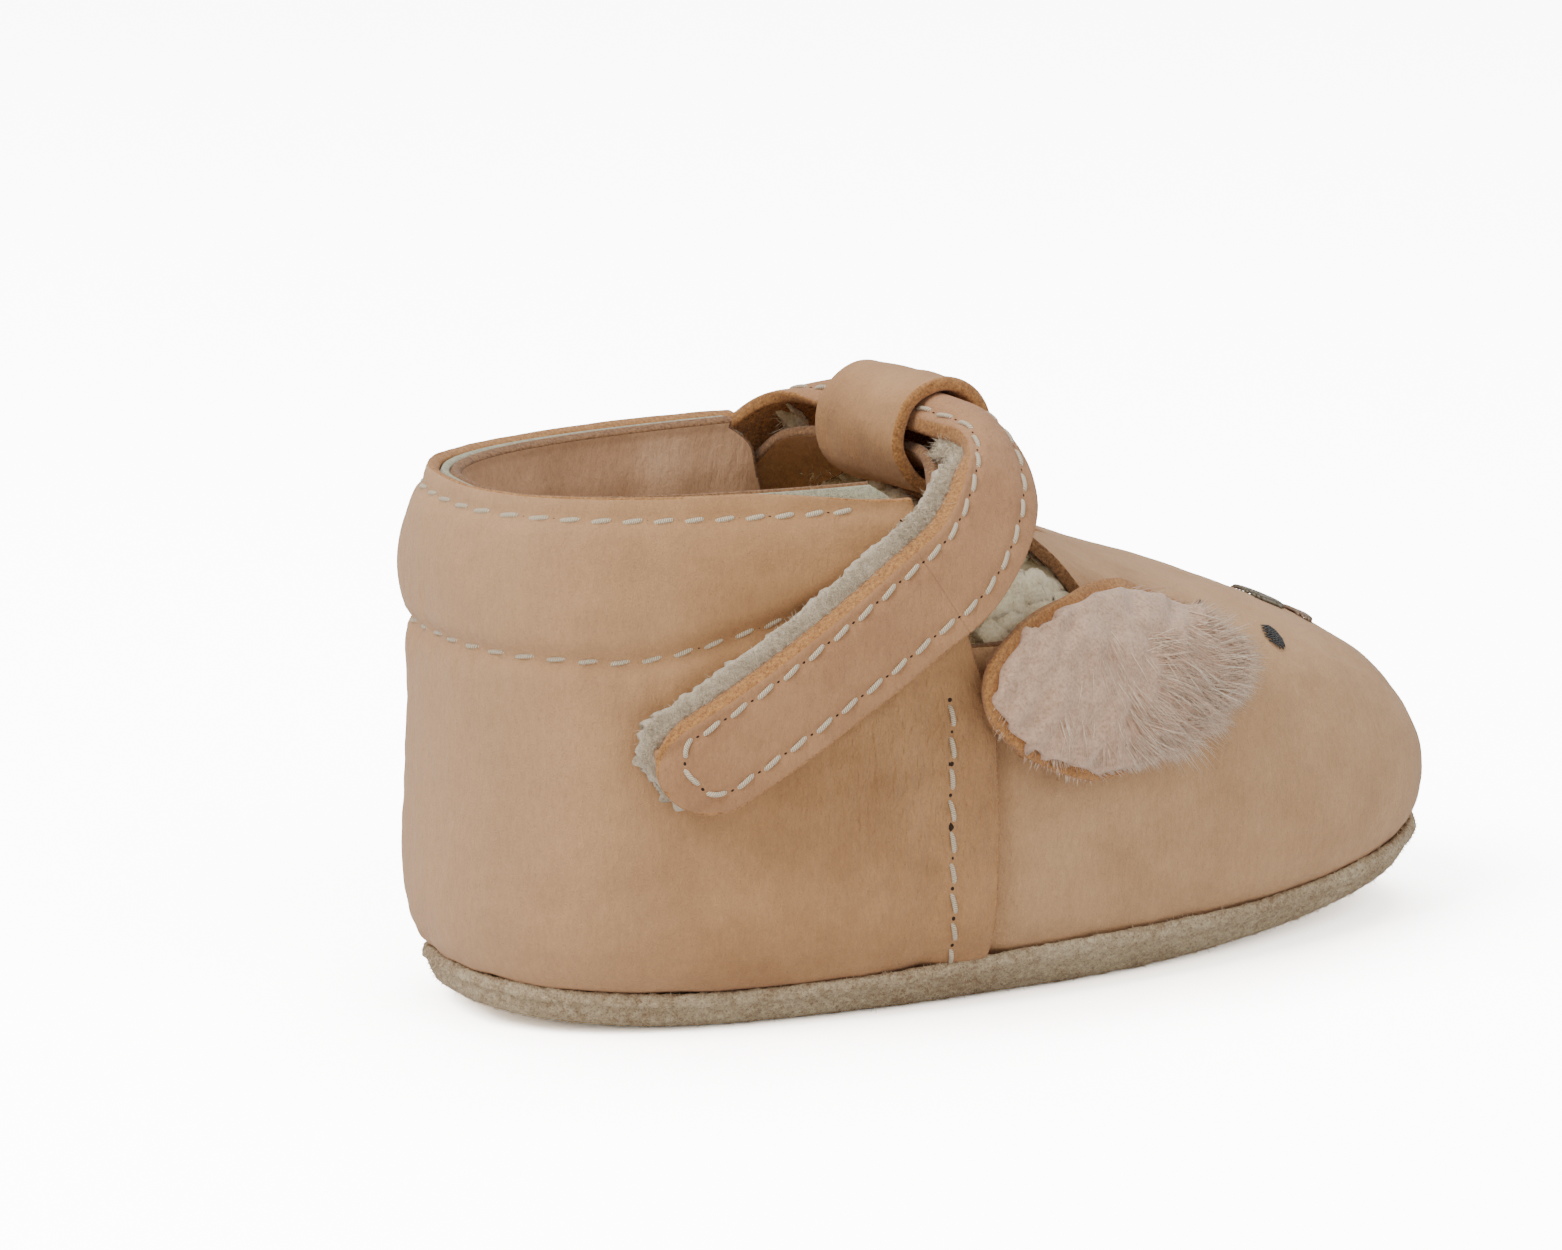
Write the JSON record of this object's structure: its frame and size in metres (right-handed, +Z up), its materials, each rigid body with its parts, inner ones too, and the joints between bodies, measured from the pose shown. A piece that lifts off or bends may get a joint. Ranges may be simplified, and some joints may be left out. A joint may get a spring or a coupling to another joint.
{
  "type": "baby bootie",
  "caption": "Soft-soled right baby bootie with a padded collar, T-bar loop, diagonal strap with hook and loop tape, and fur ears.",
  "frame": {"origin": "centre of the bounding box in plan, at the ground under the sole", "axes": "+X from heel to toe, +Y to the medial side (the wearer's left), +Z up"},
  "size_m": [0.1206, 0.0638, 0.0655],
  "materials": {
    "leather_tan": "nubuck, matt with a soft sheen",
    "leather_lining": "smooth tan lining leather",
    "leather_raw": "raw cut tan leather",
    "sole_suede": "speckled suede nap",
    "fleece": "cream pile lining",
    "foam": "soft padding with a knitted back",
    "tape": "hook and loop pile",
    "fur": "short combed pile",
    "thread": "twisted sewing thread",
    "embroidery_black": "satin stitch",
    "embroidery_brown": "satin stitch"
  },
  "bodies": {
    "shoe": {"outsole": "sole_suede", "insole_foam": "foam", "insole_fleece": "fleece", "quarter": "leather_tan", "collar_foam": "foam", "collar_lining": "leather_lining", "quarter_fleece": "fleece", "vamp": "leather_tan", "vamp_fleece": "fleece", "strap_loop": "leather_tan", "strap_root": "leather_tan", "ankle_band": "leather_tan", "loop_tape": "tape", "eye_right": "embroidery_black", "eye_left": "embroidery_black", "nose": "embroidery_brown", "mouth": "embroidery_brown", "thread_topline": "thread", "thread_collar": "thread", "thread_seam_right": "thread", "thread_seam_left": "thread"},
    "strap_flap": {"strap_flap": "leather_tan", "hook_flap": "tape", "thread_flap_upper": "thread", "thread_flap_lower": "thread"},
    "strap_tip": {"strap_tip": "leather_tan", "hook_tip": "tape", "thread_tip": "thread"},
    "ear_right": {"ear_right": "leather_raw", "ear_right_fur": "fur"},
    "ear_left": {"ear_left": "leather_raw", "ear_left_fur": "fur"}
  },
  "joints": [
    {"name": "strap_lift", "type": "hinge", "parent": "shoe", "child": "strap_flap", "pos_m": [-0.00146, -0.01873, 0.06045], "axis": [-0.9494, -0.102, 0.2971], "range_deg": [0, 95]},
    {"name": "strap_curl", "type": "hinge", "parent": "strap_flap", "child": "strap_tip", "pos_m": [-0.02548, -0.02928, 0.03928], "axis": [-0.5279, 0.139, 0.8379], "range_deg": [0, 45]},
    {"name": "ear_right_lift", "type": "hinge", "parent": "shoe", "child": "ear_right", "pos_m": [0.0112, -0.0183, 0.0447], "axis": [-0.7403, -0.6723, 0], "range_deg": [0, 70]},
    {"name": "ear_left_lift", "type": "hinge", "parent": "shoe", "child": "ear_left", "pos_m": [0.0112, 0.0199, 0.0447], "axis": [0.7901, -0.613, 0], "range_deg": [0, 70]}
  ]
}
